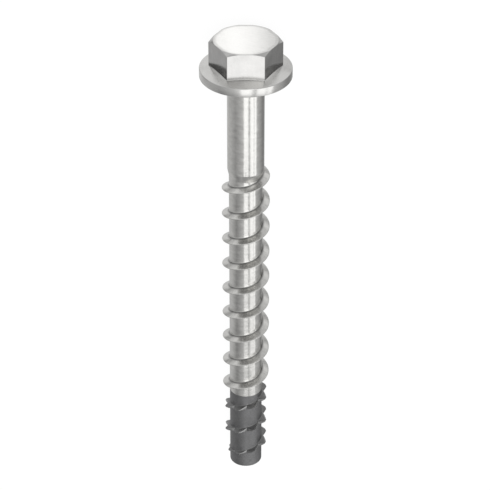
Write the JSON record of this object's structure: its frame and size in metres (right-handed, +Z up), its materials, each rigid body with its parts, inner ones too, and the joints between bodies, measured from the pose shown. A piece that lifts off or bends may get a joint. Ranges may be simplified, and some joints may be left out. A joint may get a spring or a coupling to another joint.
{
  "type": "concrete screw",
  "caption": "Hexagon washer-head concrete screw: stainless body with a coarse right-hand thread, and a dark hardened tip whose notched ridge saws the thread into a drilled hole.",
  "frame": {"origin": "centre of the bottom of the bounding box, with the screw lying on its flange's rim and two of its teeth", "axes": "+Y along the screw towards its head (the axis dips about 3 degrees towards the tip), +Z up"},
  "size_m": [0.0144, 0.0814, 0.0144],
  "materials": {
    "stainless_steel": "satin, drawn and rolled, with fine lengthwise and turned marks",
    "hardened_steel": "dark satin conversion coat on hardened steel"
  },
  "bodies": {
    "root": {"stainless_body": "stainless_steel", "hardened_tip": "hardened_steel"}
  },
  "joints": []
}
